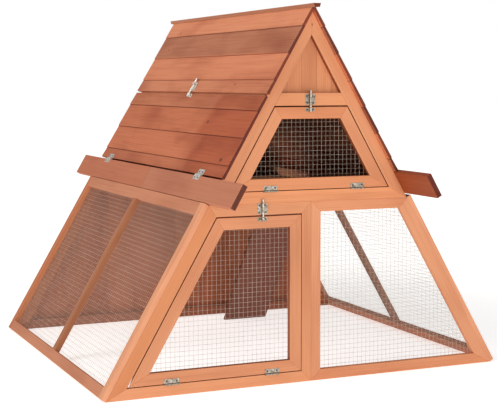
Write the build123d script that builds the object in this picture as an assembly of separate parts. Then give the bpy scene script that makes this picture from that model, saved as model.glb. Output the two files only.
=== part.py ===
from build123d import *
import math
import os

os.makedirs("parts", exist_ok=True)

# A wooden A-frame chicken coop. A mesh-sided run stands on the ground, and a boarded house sits over
# it under the same slopes. Two doors open on the front, a flap opens in the left roof, and each is
# held by a small barrel bolt. Two long boards stick out at both ends as carrying handles.
#
# Millimetres. z = 0 is the ground, the ridge runs along y, and the front is at -y. The origin is on
# the ground under the middle. "along" is a distance up a slope from the ground, and "out" is a
# distance square to the slope, outwards from the plane that the frames' slanting edges lie in.

# --- overall sizes
half_base = 570.0            # middle to the slope plane, at the ground
slope = math.radians(60)     # lean of both sides
depth = 1020.0               # front face to back face
floor_height = 481.0         # top of the run and foot of the house

# --- the mitred frames at the front and back
frame_thick = 15.0
slant_stile = 33.0           # every slanting member, square to its length
centre_stile = 28.0
bottom_rail = 29.0
door_head_rail = 30.5
window_head_rail = 28.0
gable_rail = 30.5
mid_rail = 33.5              # the rail over the upper door
doorway_share = 0.594        # of the gable's clear height; the boarded triangle has the rest
edge_ease = 0.7              # small chamfer on every board

# --- doors
door_rail = 31.0
door_stile = 33.0
door_gap = 1.5
door_slant_gap = 2.6         # beside a slanting member
door_head_gap = 3.6
door_foot_gap = 2.0          # holds the hinge leaf that lies on the rail
relief_in = 9.0              # the back of a slanting lower corner is planed off this far in
relief_up = 50.0             # and this far up, so that the door clears its doorway as it drops

# --- side panels of the run
side_thick = 14.0
side_stile = 28.0
side_muntin = 30.0
side_head_rail = 34.0
side_foot_rail = 30.0

# --- wire mesh, stapled behind its frame
mesh_thick = 1.0
mesh_lap = 12.0
mesh_clear = 1.0             # from the side mesh to the front and back frames

# --- thin boards
board_thick = 9.0
wall_board = 81.5            # width of one wall board
gable_board = 44.0           # width of one board in the front gable
board_joint = 0.6            # gap between neighbouring boards
board_inset = 3.0            # back boards stop this far inside the slope plane
infill_lap = 12.0

# --- roof
roof_cover = 81.5            # each board shows this much
roof_butt = 9.0              # thick lower edge of a roof board
roof_thin = 7.0              # thin upper edge
roof_overhang = 12.0
ridge_board = 53.0           # the top board, cut at the ridge
flap_tall = 244.0
flap_top_board = 45.5
flap_foot_gap = 7.0          # room for the hinge knuckle
flap_head_gap = 6.5
flap_seat = 0.4              # the closed flap clears the rafters by this
flap_rest = 5.0              # the purlin behind the flap's head reaches this far under it
fixed_foot_gap = 3.0
flap_batten = 28.0
flap_batten_thick = 14.0
flap_batten_end = 210.0      # from the coop's end faces to the battens
flap_batten_clear = 8.0
purlin = 30.0
purlin_thick = 20.0
purlin_lift = 14.0
cap_rise = 6.0               # foot of the ridge cap above the meeting of the slopes
cap_thick = 10.0
cap_foot_half = 7.5
cap_half = 10.5
cap_overhang = 32.0
ridge_overrun = 36.0         # top boards are drawn this far past the ridge, then cut

# --- handle boards
handle_wide = 68.0
handle_thick = 15.0
handle_reach = 168.0         # beyond the front and back faces
left_handle_lift = 1.5       # above the top of the side panel
right_handle_lift = 13.0

# --- house floor and ramp
floor_thick = 9.0
floor_side_gap = 1.0
bearer_clear = 1.1           # above the top edge of the side mesh
bearer_wide = 16.0
ramp_angle = math.radians(54)
ramp_wide = 150.0
ramp_bearer_gap = 8.3        # between the ramp and the right bearer
ramp_thick = 10.0
ramp_foot_clear = 137.0      # from the back face to the foot of the ramp
cleat_pitch = 62.0
cleat_wide = 14.0
cleat_thick = 7.0
cleat_start = 50.0
hole_side_gap = 5.0
hole_long = 215.0

# --- hinges
leaf_thick = 1.0
pin_radius = 1.25
pin_clearance = 0.05
knuckle_clearance = 0.4
segment_clearance = 0.15
pin_end = 0.6
door_hinge_wide = 41.0
door_knuckle = 2.5
door_pin_out = 2.6           # pin in front of the door's face
door_pin_up = 0.5            # pin above the rail's top
door_leaf_tall = 14.0
door_leaf_back = 2.0         # the leaf on the rail stops this far from the frame's back
flap_hinge_wide = 40.0
flap_knuckle = 3.0
flap_pin_sunk = 2.4          # pin below the handle board's face
flap_web_lap = 0.4           # bend of the leaf under the knuckle
flap_leaf = 14.0
handle_leaf = 12.0
screw_head = 2.6
screw_tall = 1.0
screw_round = 0.8

# --- barrel bolts: a rod slides in two straps on a plate, into a keeper below
bolt_plate = 28.0
bolt_plate_start = 2.5
strap_long = 5.0
strap_wall = 1.1
rod_radius = 3.0
rod_clearance = 0.08
bolt_throw = 14.0
rod_spare = 3.0
rod_ease = 0.6
knob_reach = 11.0
knob_lean = math.radians(35)  # the knob stands out this far from the plate
knob_radius = 3.2
stem_radius = 1.7
stem_play = 0.3
tip_clear = 1.2              # open bolt's tip above its keeper
keeper_long = 10.0
keeper_half = 13.0
keeper_clearance = 0.5
keeper_drop = 2.0            # keeper below the door's top edge

# --- places of the hinges and bolts
lower_hinge_insets = (115.0, 85.5)      # from the door's lower corners, left then right
upper_hinge_insets = (112.0, 95.0)
flap_hinge_insets = (150.0, 102.0)      # from the boards' ends, front then back
lower_bolt_shift = 7.4                  # right of the middle of the door's head
upper_bolt_shift = -5.0
roof_bolt_shift = 15.0                  # behind the middle of the coop

# --- worked out from the sizes above
apex = half_base * math.tan(slope)
slope_long = half_base / math.cos(slope)
y_front = -depth / 2
y_back = depth / 2
y_inner_front = y_front + frame_thick
y_inner_back = y_back - board_thick - frame_thick
side_head = floor_height / math.sin(slope)
left_handle = side_head + left_handle_lift
right_handle = side_head + right_handle_lift
flap_foot = left_handle + handle_wide + flap_foot_gap
flap_head = flap_foot + flap_tall
fixed_left_foot = flap_head + flap_head_gap
fixed_right_foot = right_handle + handle_wide + fixed_foot_gap
cap_low = apex + cap_rise
flap_pin = left_handle + handle_wide + flap_foot_gap / 2
flap_pin_out = handle_thick - flap_pin_sunk
ramp_foot = y_back - ramp_foot_clear
ramp_head = ramp_foot - floor_height / math.tan(ramp_angle)
ramp_lip = ramp_head + ramp_thick / math.sin(ramp_angle)
bearer_foot = (side_head - side_head_rail + mesh_lap) * math.sin(slope) + bearer_clear
rod_height = rod_radius + keeper_clearance + strap_wall
slot_long = bolt_throw + 2 * stem_radius + 2 * stem_play


def slope_x(z):
    """Half the width between the slope planes at height z."""
    return half_base - z / math.tan(slope)


bearer_inner = slope_x(floor_height) - bearer_wide
ramp_right = bearer_inner - ramp_bearer_gap
ramp_left = ramp_right - ramp_wide


def slope_point(side, along, out, y=0.0):
    """A point on a slope; side is -1 on the left and 1 on the right."""
    x = side * (half_base - along * math.cos(slope) + out * math.sin(slope))
    return (x, y, along * math.sin(slope) + out * math.cos(slope))


def inset(corners, widths):
    """Move each edge of an anticlockwise outline inwards by its own width."""
    lines = []
    for i, (x0, z0) in enumerate(corners):
        x1, z1 = corners[(i + 1) % len(corners)]
        length = math.hypot(x1 - x0, z1 - z0)
        across, up = (z0 - z1) / length, (x1 - x0) / length
        lines.append((across, up, across * x0 + up * z0 + widths[i]))
    moved = []
    for i, (a1, b1, c1) in enumerate(lines):
        a0, b0, c0 = lines[i - 1]
        scale = a0 * b1 - a1 * b0
        moved.append(((c0 * b1 - c1 * b0) / scale, (a0 * c1 - a1 * c0) / scale))
    return moved


def eased(board):
    """Take the sharp edge off a board."""
    return chamfer(board.edges(), edge_ease)


def upright(corners, y, thick):
    """A flat piece that stands across the coop: an outline in x and z, thick deep from y."""
    outline = Polyline(*[(x, y, z) for x, z in corners], close=True)
    return extrude(make_face(outline), amount=thick, dir=(0, 1, 0))


def on_slope(side, section, y0, y1):
    """A piece on a slope: a section of (along, out) points, run from y0 to y1."""
    outline = Polyline(*[slope_point(side, a, o, y0) for a, o in section], close=True)
    return extrude(make_face(outline), amount=y1 - y0, dir=(0, 1, 0))


def slab(a0, a1, o0, o1):
    """A rectangular section on a slope."""
    return [(a0, o0), (a1, o0), (a1, o1), (a0, o1)]


def block(low, high):
    """A square-edged box between two corners."""
    size = [b - a for a, b in zip(low, high)]
    middle = [(a + b) / 2 for a, b in zip(low, high)]
    return Pos(*middle) * Box(*size)


def mitred(corners, widths, y, thick=frame_thick):
    """The members of a frame, one to each edge of its outline, mitred at the corners."""
    inner = inset(corners, widths)
    count = len(corners)
    members = []
    for i in range(count):
        j = (i + 1) % count
        members.append(eased(upright([corners[i], corners[j], inner[j], inner[i]], y, thick)))
    return members


def split_upright(corners, y, thick, width, middle_board=False):
    """Vertical boards of one width inside an outline, from a middle joint or a middle board."""
    sheet = upright(corners, y, thick)
    right = max(x for x, _ in corners)
    low, high = min(z for _, z in corners), max(z for _, z in corners)
    boards = []
    left = -width * (math.ceil(right / width) + (0.5 if middle_board else 0))
    while left < right:
        slot = block((left + board_joint / 2, y, low), (left + width - board_joint / 2, y + thick, high))
        boards += (sheet & slot).solids()
        left += width
    return boards


# --- outlines in x and z, anticlockwise from the lower left
left_bay = [(-half_base, 0), (0, 0), (0, floor_height), (-slope_x(floor_height), floor_height)]
left_bay_widths = [bottom_rail, centre_stile, door_head_rail, slant_stile]
right_bay = [(0, 0), (half_base, 0), (slope_x(floor_height), floor_height), (0, floor_height)]
right_bay_widths = [bottom_rail, slant_stile, window_head_rail, centre_stile]
gable = [(-slope_x(floor_height), floor_height), (slope_x(floor_height), floor_height), (0, apex)]
gable_widths = [gable_rail, slant_stile, slant_stile]
lower_doorway = inset(left_bay, left_bay_widths)
window = inset(right_bay, right_bay_widths)
gable_hole = inset(gable, gable_widths)
rafter_x = slant_stile / math.sin(slope)
clear_height = gable_hole[2][1] - gable_hole[0][1] - mid_rail
mid_rail_low = gable_hole[0][1] + doorway_share * clear_height
mid_rail_high = mid_rail_low + mid_rail
upper_doorway = [
    gable_hole[0],
    gable_hole[1],
    (slope_x(mid_rail_low) - rafter_x, mid_rail_low),
    (rafter_x - slope_x(mid_rail_low), mid_rail_low),
]
lower_leaf = inset(lower_doorway, [door_foot_gap, door_gap, door_head_gap, door_slant_gap])
upper_leaf = inset(upper_doorway, [door_foot_gap, door_slant_gap, door_head_gap, door_slant_gap])
leaf_widths = [door_rail, door_stile, door_rail, door_stile]


def mesh_sheet(opening, y):
    """A flat sheet of mesh behind an opening, lapped onto its frame."""
    return upright(inset(opening, [-mesh_lap] * len(opening)), y, mesh_thick)


def front_frames(nodes):
    """The two mitred frames of the run's front, and the mesh in the right one."""
    members = mitred(left_bay, left_bay_widths, y_front)
    nodes["front_left_rails"] = members[0::2]
    nodes["front_left_stiles"] = members[1::2]
    members = mitred(right_bay, right_bay_widths, y_front)
    nodes["front_right_rails"] = members[0::2]
    nodes["front_right_stiles"] = members[1::2]
    nodes["front_window_mesh"] = [mesh_sheet(window, y_inner_front)]


def front_gable(nodes):
    """The front of the house: two rafters, two rails and a boarded triangle."""
    foot, right, left = mitred(gable, gable_widths, y_front)
    x_low, x_high = slope_x(mid_rail_low) - rafter_x, slope_x(mid_rail_high) - rafter_x
    rail = [(-x_low, mid_rail_low), (x_low, mid_rail_low), (x_high, mid_rail_high), (-x_high, mid_rail_high)]
    nodes["gable_rafters"] = [left, right]
    nodes["gable_rails"] = [foot, eased(upright(rail, y_front, frame_thick))]
    infill = inset([(-x_high, mid_rail_high), (x_high, mid_rail_high), gable_hole[2]], [-infill_lap] * 3)
    nodes["gable_boards"] = split_upright(infill, y_inner_front, board_thick, gable_board, True)


def relieved(members, outline, side):
    """Plane off the back of the door's lower corner on one side, up its slanting edge."""
    x, z = outline[0] if side < 0 else outline[1]
    lean = side / math.tan(slope)
    front = Vector(x, y_front, z)
    inner = Vector(x - side * relief_in, y_inner_front, z)
    upper = Vector(x - lean * relief_up, y_inner_front, z + relief_up)
    off = (inner - front).cross(upper - front) * side
    waste = Box(depth, depth, depth, align=(Align.CENTER, Align.CENTER, Align.MIN))
    waste = Plane(origin=front, z_dir=off) * waste
    return [member - waste for member in members]


def door(nodes, name, outline, slanting):
    """A mitred door leaf in its doorway, with mesh behind it."""
    members = mitred(outline, leaf_widths, y_front)
    for side in slanting:
        members = relieved(members, outline, side)
    nodes[name + "_rails"] = members[0::2]
    nodes[name + "_stiles"] = members[1::2]
    nodes[name + "_mesh"] = [mesh_sheet(inset(outline, leaf_widths), y_inner_front)]


def side_panel(nodes, name, side):
    """A framed mesh panel on one slope of the run."""
    muntin = side_muntin / 2
    inner_front, inner_back = y_front + side_stile, y_back - side_stile
    high = side_head - side_head_rail
    stiles = [(y_front, inner_front), (inner_back, y_back)]
    rails = [(0, side_foot_rail), (high, side_head)]
    full, pane = slab(0, side_head, 0, side_thick), slab(side_foot_rail, high, 0, side_thick)
    lapped = slab(side_foot_rail - mesh_lap, high + mesh_lap, -mesh_thick, 0)
    nodes[name + "_stiles"] = [eased(on_slope(side, full, y0, y1)) for y0, y1 in stiles]
    nodes[name + "_rails"] = [
        eased(on_slope(side, slab(a0, a1, 0, side_thick), inner_front, inner_back)) for a0, a1 in rails
    ]
    nodes[name + "_muntin"] = [eased(on_slope(side, pane, -muntin, muntin))]
    mesh = on_slope(side, lapped, y_inner_front + mesh_clear, y_inner_back - mesh_clear)
    nodes[name + "_mesh"] = [mesh]


def back_wall(nodes):
    """The back: a frame round the run, a gable frame over it, and boards nailed outside both."""
    y = y_inner_back
    bay = [(-half_base, 0), (half_base, 0), right_bay[2], left_bay[3]]
    widths = [bottom_rail, slant_stile, window_head_rail, slant_stile]
    members = mitred(bay, widths, y)
    post = block(
        (-centre_stile / 2, y, bottom_rail),
        (centre_stile / 2, y + frame_thick, floor_height - window_head_rail),
    )
    nodes["back_rails"] = members[0::2]
    nodes["back_stiles"] = members[1::2] + [eased(post)]
    foot, right, left = mitred(gable, gable_widths, y)
    nodes["back_gable_rafters"] = [left, right]
    nodes["back_gable_rail"] = [foot]
    wall = inset(bay, [0, board_inset, 0, board_inset])
    house = inset(gable, [0, board_inset, board_inset])
    y = y_back - board_thick
    nodes["back_wall_boards"] = split_upright(wall, y, board_thick, wall_board)
    nodes["back_gable_boards"] = split_upright(house, y, board_thick, wall_board)


def courses(foot, head, top_board):
    """The lower and upper edge of each roof board, from the top board down."""
    edges = [head, head - top_board]
    while edges[-1] - roof_cover > foot:
        edges.append(edges[-1] - roof_cover)
    edges.append(foot)
    return list(zip(edges[1:], edges[:-1]))


def roof_boards(side, foot, head, top_board, seat=0.0):
    """Overlapping roof boards, each thickest at its lower edge."""
    boards = []
    for low, high in courses(foot, head, top_board):
        section = [(low, seat), (high, seat), (high, roof_thin), (low, roof_butt)]
        boards.append(on_slope(side, section, y_front - roof_overhang, y_back + roof_overhang))
    return boards


def ridge_trimmed(side, boards):
    """Cut the top board upright at the ridge and flat under the cap."""
    far = 2 * half_base
    x0, x1 = sorted((0, side * far))
    keep = block((x0, -far, 0), (x1, far, cap_low))
    return [(board & keep).solids()[0] for board in boards]


def roof(nodes):
    """Boards on both slopes, the purlins under them, and the cap on the ridge."""
    head, top_board = slope_long + ridge_overrun, ridge_board + ridge_overrun
    left = roof_boards(-1, fixed_left_foot, head, top_board)
    right = roof_boards(1, fixed_right_foot, head, top_board)
    nodes["left_roof_boards"] = ridge_trimmed(-1, left)
    nodes["right_roof_boards"] = ridge_trimmed(1, right)
    eaves = (floor_height + floor_thick) / math.sin(slope) + purlin_lift
    section = slab(eaves, eaves + purlin, -purlin_thick, 0)
    strip_foot = flap_head - flap_rest
    over_flap = slab(strip_foot, strip_foot + purlin, -purlin_thick, 0)
    nodes["roof_purlins"] = [
        on_slope(-1, section, y_inner_front, y_inner_back),
        on_slope(1, section, y_inner_front, y_inner_back),
        on_slope(-1, over_flap, y_inner_front, y_inner_back),
    ]
    top = cap_low + cap_thick
    cap = [(-cap_foot_half, cap_low), (cap_foot_half, cap_low), (cap_half, top), (-cap_half, top)]
    nodes["ridge_cap"] = [upright(cap, y_front - cap_overhang, depth + 2 * cap_overhang)]


def roof_flap(nodes):
    """The hinged lower part of the left roof: boards on two battens."""
    nodes["flap_boards"] = roof_boards(-1, flap_foot, flap_head, flap_top_board, flap_seat)
    section = slab(
        flap_foot + flap_batten_clear, flap_head - flap_batten_clear, flap_seat - flap_batten_thick, flap_seat
    )
    places = (y_front + flap_batten_end, y_back - flap_batten_end)
    nodes["flap_battens"] = [
        on_slope(-1, section, y - flap_batten / 2, y + flap_batten / 2) for y in places
    ]


def handles(nodes):
    """The two long boards whose ends are the carrying handles."""
    reach = y_back + handle_reach
    for name, side, foot in (("left", -1, left_handle), ("right", 1, right_handle)):
        section = slab(foot, foot + handle_wide, 0, handle_thick)
        nodes[name + "_handle_board"] = [eased(on_slope(side, section, -reach, reach))]


def house_floor(nodes):
    """A plywood floor with a hole at the head of the ramp, on battens."""
    low, high = floor_height, floor_height + floor_thick
    half = slope_x(high) - floor_side_gap
    sheet = block((-half, y_inner_front, low), (half, y_inner_back, high))
    hole_end = ramp_lip + hole_long
    hole = block(
        (ramp_left - hole_side_gap, ramp_lip, low), (ramp_right + hole_side_gap, hole_end, high)
    )
    nodes["house_floor"] = [sheet - hole]
    foot = bearer_foot
    wide = low - foot
    start = y_inner_front + mesh_thick
    right = [
        (bearer_inner, foot), (slope_x(foot), foot), (slope_x(low), low), (bearer_inner, low)
    ]
    left = [(-x, z) for x, z in reversed(right)]
    runs = [upright(outline, start, y_inner_back - start) for outline in (left, right)]
    for y in (start, ramp_head - wide, hole_end, y_inner_back - wide):
        runs.append(block((-bearer_inner, y, foot), (bearer_inner, y + wide, low)))
    nodes["floor_bearers"] = runs


def ramp(nodes):
    """A plank from the ground up to the hole in the floor, with cleats on its upper side."""
    run, rise = math.cos(ramp_angle), math.sin(ramp_angle)
    lip = ramp_thick / rise
    feet = [(ramp_foot, 0), (ramp_foot + lip, 0), (ramp_lip, floor_height), (ramp_head, floor_height)]
    outline = Polyline(*[(ramp_left, y, z) for y, z in feet], close=True)
    nodes["ramp_board"] = [extrude(make_face(outline), amount=ramp_wide, dir=(1, 0, 0))]
    length = floor_height / rise
    middle = ramp_left + ramp_wide / 2
    cleats = []
    place = cleat_start
    while place < length - cleat_start:
        base = (middle, ramp_foot + lip - place * run, place * rise)
        face = Plane(origin=base, x_dir=(1, 0, 0), z_dir=(0, rise, run))
        cleat = Box(ramp_wide, cleat_wide, cleat_thick, align=(Align.CENTER, Align.CENTER, Align.MIN))
        cleats.append(face * cleat)
        place += cleat_pitch
    nodes["ramp_cleats"] = cleats


def knuckle(radius, start, end):
    """A hinge knuckle along the pin, bored for it."""
    tube = Cylinder(radius, end - start, align=(Align.CENTER, Align.CENTER, Align.MIN))
    return Pos(0, 0, start) * tube


def leaf(plate, web, radius, width, spans):
    """One hinge leaf round the z axis: a plate and, over each span, a web and a knuckle."""
    (p0, q0), (p1, q1) = plate
    solid = block((p0, q0, -width / 2), (p1, q1, width / 2))
    (p0, q0), (p1, q1) = web
    for start, end in spans:
        solid += block((p0, q0, start), (p1, q1, end)) + knuckle(radius, start, end)
    return solid - knuckle(pin_radius + pin_clearance, -width, width)


def hinge_spans(width):
    """The pin is shared in thirds: the fixed leaf has the outer two, the moving leaf the middle."""
    third = width / 6
    fixed = [(-width / 2, -third - segment_clearance), (third + segment_clearance, width / 2)]
    return fixed, [(segment_clearance - third, third - segment_clearance)]


def hinge_pin(width):
    """A pin as long as its hinge, a little proud at each end."""
    return Cylinder(pin_radius, width + 2 * pin_end)


def screw(at, out):
    """A domed screw head on a face that looks along out."""
    head = Cylinder(screw_head, screw_tall, align=(Align.CENTER, Align.CENTER, Align.MIN))
    head = fillet(head.edges().sort_by(Axis.Z)[-1], screw_round)
    return Plane(origin=at, z_dir=out) * head


def door_hinges(z_rail, outline, insets, fixed, moving, pins, door_screws):
    """Hinges at a door's foot: one leaf on the door's face, the other on top of the rail."""
    clear = door_knuckle + knuckle_clearance
    back = door_pin_out + frame_thick - door_leaf_back
    fixed_plate = ((clear, -door_pin_up), (back, leaf_thick - door_pin_up))
    fixed_web = ((0, -door_pin_up), (clear, leaf_thick - door_pin_up))
    face = door_pin_out - leaf_thick
    moving_plate = ((face, clear), (door_pin_out, door_leaf_tall))
    moving_web = ((face, 0), (door_pin_out, clear))
    outer, middle = hinge_spans(door_hinge_wide)
    fixed_leaf = leaf(fixed_plate, fixed_web, door_knuckle, door_hinge_wide, outer)
    moving_leaf = leaf(moving_plate, moving_web, door_knuckle, door_hinge_wide, middle)
    y, z = y_front - door_pin_out, z_rail + door_pin_up
    for x in (outline[0][0] + insets[0], outline[1][0] - insets[1]):
        axis = Plane(origin=(x, y, z), x_dir=(0, 1, 0), z_dir=(1, 0, 0))
        fixed.append(axis * fixed_leaf)
        moving.append(axis * moving_leaf)
        pins.append(axis * hinge_pin(door_hinge_wide))
        for shift in (-door_hinge_wide / 3, door_hinge_wide / 3):
            at = (x + shift, y_front - leaf_thick, z + (clear + door_leaf_tall) / 2)
            door_screws.append(screw(at, (0, -1, 0)))


def flap_hinges(fixed, moving, pins, root_screws, flap_screws):
    """Hinges at the flap's foot: one leaf on the flap, the other on the handle board."""
    clear = flap_knuckle + knuckle_clearance
    low, high = roof_butt - flap_pin_out, handle_thick - flap_pin_out
    fixed_plate = ((-clear - handle_leaf, high), (-clear, high + leaf_thick))
    fixed_web = ((-clear, high), (0, high + leaf_thick))
    moving_plate = ((clear, low), (clear + flap_leaf, low + leaf_thick))
    moving_web = ((0, low), (clear, max(low + leaf_thick, flap_web_lap - flap_knuckle)))
    outer, middle = hinge_spans(flap_hinge_wide)
    fixed_leaf = leaf(fixed_plate, fixed_web, flap_knuckle, flap_hinge_wide, outer)
    moving_leaf = leaf(moving_plate, moving_web, flap_knuckle, flap_hinge_wide, middle)
    up, out = Vector(*slope_point(-1, 1, 0)) - Vector(*slope_point(-1, 0, 0)), Vector(0, -1, 0)
    front_end, back_end = y_front - roof_overhang, y_back + roof_overhang
    for y in (front_end + flap_hinge_insets[0], back_end - flap_hinge_insets[1]):
        axis = Plane(origin=slope_point(-1, flap_pin, flap_pin_out, y), x_dir=up, z_dir=out)
        fixed.append(axis * fixed_leaf)
        moving.append(axis * moving_leaf)
        pins.append(axis * hinge_pin(flap_hinge_wide))
        for shift in (-flap_hinge_wide / 4, flap_hinge_wide / 4):
            on_handle = flap_pin - clear - handle_leaf / 2
            on_flap = flap_pin + clear + flap_leaf / 2
            at = slope_point(-1, on_handle, handle_thick + leaf_thick, y + shift)
            root_screws.append(screw(at, axis.y_dir))
            at = slope_point(-1, on_flap, roof_butt + leaf_thick, y + shift)
            flap_screws.append(screw(at, axis.y_dir))


def arch(start, end, inner, half_foot, packing=0.0):
    """A strap pressed over a rod that runs along y: two feet and a round bridge."""
    outer = inner + strap_wall
    tall, middle = rod_height + packing, (rod_height - packing) / 2
    bridge = Pos(0, middle) * Rectangle(2 * outer, tall) + Pos(0, rod_height) * Circle(outer)
    tunnel = Pos(0, middle) * Rectangle(2 * inner, tall) + Pos(0, rod_height) * Circle(inner)
    feet = Pos(0, (leaf_thick - packing) / 2) * Rectangle(2 * half_foot, leaf_thick + packing)
    side = Plane(origin=(0, end, 0), x_dir=(1, 0, 0), z_dir=(0, -1, 0))
    return extrude(side * (feet + bridge - tunnel), amount=end - start)


def bolt_housing():
    """The bolt's plate and its two straps; y = 0 is the edge that the bolt crosses."""
    start, end = bolt_plate_start, bolt_plate_start + 2 * strap_long + slot_long
    plate = block((-bolt_plate / 2, start, 0), (bolt_plate / 2, end, leaf_thick))
    inner = rod_radius + rod_clearance
    foot = inner + strap_wall
    low = arch(start, start + strap_long, inner, foot)
    high = arch(end - strap_long, end, inner, foot)
    return plate + low + high


def bolt_rod(tip):
    """The sliding rod, drawn with its tip just clear of the keeper, and its side knob."""
    top = bolt_plate_start + strap_long + slot_long + bolt_throw + rod_spare
    rod = Cylinder(rod_radius, top - tip, align=(Align.CENTER, Align.CENTER, Align.MIN))
    rod = chamfer(rod.edges(), rod_ease)
    rod = Plane(origin=(0, tip, rod_height), z_dir=(0, 1, 0)) * rod
    knob_y = bolt_plate_start + strap_long + slot_long - stem_play - stem_radius
    stem = Cylinder(stem_radius, knob_reach, align=(Align.CENTER, Align.CENTER, Align.MIN))
    out = Plane(origin=(0, knob_y, rod_height), z_dir=(math.cos(knob_lean), 0, math.sin(knob_lean)))
    return rod + out * stem + out * Pos(0, 0, knob_reach) * Sphere(knob_radius)


def bolt_set(nodes, name, edge, gap, packing, root_screws, door_screws):
    """A barrel bolt over a gap: edge is the plane at the gap's upper edge, its y up the slide."""
    keeper_high = -gap - keeper_drop
    inner = rod_radius + keeper_clearance
    strap = arch(keeper_high - keeper_long, keeper_high, inner, keeper_half, packing)
    nodes[name + "_bolt_housing"] = [edge * bolt_housing()]
    nodes[name + "_bolt"] = [edge * bolt_rod(keeper_high + tip_clear)]
    nodes[name + "_bolt_keeper"] = [edge * strap]
    side = (bolt_plate / 2 + rod_radius + strap_wall) / 2
    high = bolt_plate_start + strap_long + slot_long
    for x, y in ((-side, bolt_plate_start + strap_long), (side, bolt_plate_start + strap_long), (-side, high)):
        root_screws.append(screw((edge * Pos(x, y, leaf_thick)).position, edge.z_dir))
    for x in (-1, 1):
        foot = x * (inner + strap_wall + keeper_half) / 2
        at = (edge * Pos(foot, keeper_high - keeper_long / 2, leaf_thick)).position
        door_screws.append(screw(at, edge.z_dir))


def hardware(nodes):
    """Hinges, bolts and their screws, each on the body that carries it."""
    pins, root_screws, lower_screws, upper_screws, flap_screws = [], [], [], [], []
    fixed, moving = [], []
    door_hinges(bottom_rail, lower_leaf, lower_hinge_insets, fixed, moving, pins, lower_screws)
    nodes["lower_door_fixed_leaves"], nodes["lower_door_hinge_leaves"] = fixed, moving
    fixed, moving = [], []
    upper_rail = floor_height + gable_rail
    door_hinges(upper_rail, upper_leaf, upper_hinge_insets, fixed, moving, pins, upper_screws)
    nodes["upper_door_fixed_leaves"], nodes["upper_door_hinge_leaves"] = fixed, moving
    fixed, moving = [], []
    flap_hinges(fixed, moving, pins, root_screws, flap_screws)
    nodes["flap_fixed_leaves"], nodes["flap_hinge_leaves"] = fixed, moving
    nodes["hinge_pins"] = pins
    front = {"x_dir": (1, 0, 0), "z_dir": (0, -1, 0)}
    lower_x = (lower_leaf[2][0] + lower_leaf[3][0]) / 2 + lower_bolt_shift
    upper_x = (upper_leaf[2][0] + upper_leaf[3][0]) / 2 + upper_bolt_shift
    lower = Plane(origin=(lower_x, y_front, floor_height - door_head_rail), **front)
    upper = Plane(origin=(upper_x, y_front, mid_rail_low), **front)
    roof_edge = Plane(
        origin=slope_point(-1, fixed_left_foot, roof_butt, roof_bolt_shift),
        x_dir=(0, -1, 0),
        z_dir=Vector(*slope_point(-1, 0, 1)) - Vector(*slope_point(-1, 0, 0)),
    )
    sunk = (roof_butt - roof_thin) * (1 - (keeper_drop + keeper_long) / flap_top_board)
    bolt_set(nodes, "lower", lower, door_head_gap, 0, root_screws, lower_screws)
    bolt_set(nodes, "upper", upper, door_head_gap, 0, root_screws, upper_screws)
    bolt_set(nodes, "roof", roof_edge, flap_head_gap, sunk, root_screws, flap_screws)
    nodes["root_screws"] = root_screws
    nodes["lower_door_screws"] = lower_screws
    nodes["upper_door_screws"] = upper_screws
    nodes["flap_screws"] = flap_screws


def build():
    """Every node of the coop, by name."""
    nodes = {}
    front_frames(nodes)
    front_gable(nodes)
    door(nodes, "lower_door", lower_leaf, (-1,))
    door(nodes, "upper_door", upper_leaf, (-1, 1))
    side_panel(nodes, "left_side", -1)
    side_panel(nodes, "right_side", 1)
    back_wall(nodes)
    roof(nodes)
    roof_flap(nodes)
    handles(nodes)
    house_floor(nodes)
    ramp(nodes)
    hardware(nodes)
    return nodes


for node, pieces in build().items():
    solids = [solid for piece in pieces for solid in piece.solids()]
    export_step(Compound(solids), f"parts/{node}.step")
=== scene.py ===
# %% [markdown]
# # A wooden A-frame chicken coop
#
# The joinery, hinges and bolts come ready made as a fixed frame of separate parts. This lesson gives
# each of them its finish and adds what only shows as fine work: the crossed wires of the mesh, the
# heads of the screws and the nails in the boards. Everything is in metres, with the ground at z = 0
# and the front of the coop facing -Y. Loading the frame first means that every later piece can be
# placed from it, with no fitting by eye.

import math

import bpy
from mathutils import Matrix, Vector


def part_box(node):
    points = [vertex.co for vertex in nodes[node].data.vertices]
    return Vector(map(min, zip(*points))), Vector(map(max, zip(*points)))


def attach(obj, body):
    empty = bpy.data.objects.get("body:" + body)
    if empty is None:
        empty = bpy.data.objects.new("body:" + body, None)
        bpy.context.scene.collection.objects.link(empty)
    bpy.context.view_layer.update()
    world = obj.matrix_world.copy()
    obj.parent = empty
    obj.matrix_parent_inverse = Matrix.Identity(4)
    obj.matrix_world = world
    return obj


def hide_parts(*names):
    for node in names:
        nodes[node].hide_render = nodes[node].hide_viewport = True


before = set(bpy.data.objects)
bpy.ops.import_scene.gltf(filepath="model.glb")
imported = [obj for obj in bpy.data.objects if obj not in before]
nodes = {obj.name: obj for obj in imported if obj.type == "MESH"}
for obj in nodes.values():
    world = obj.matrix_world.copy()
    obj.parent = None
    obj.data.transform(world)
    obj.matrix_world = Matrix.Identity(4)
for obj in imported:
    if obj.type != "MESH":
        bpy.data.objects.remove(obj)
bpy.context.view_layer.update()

# %% [markdown]
# Every operator acts on what is selected, and the frame comes in selected, so one small function
# picks exactly the objects that the next step works on. Forgetting this is the usual reason that an
# operator changes the wrong piece.

# %% Pick objects
def pick(*objects):
    """Selects only these objects and makes the first one active."""
    bpy.ops.object.select_all(action="DESELECT")
    for chosen in objects:
        chosen.select_set(True)
    bpy.context.view_layer.objects.active = objects[0]
    return objects[0]


bpy.ops.object.select_all(action="DESELECT")
print("selected", len(bpy.context.selected_objects))

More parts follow.
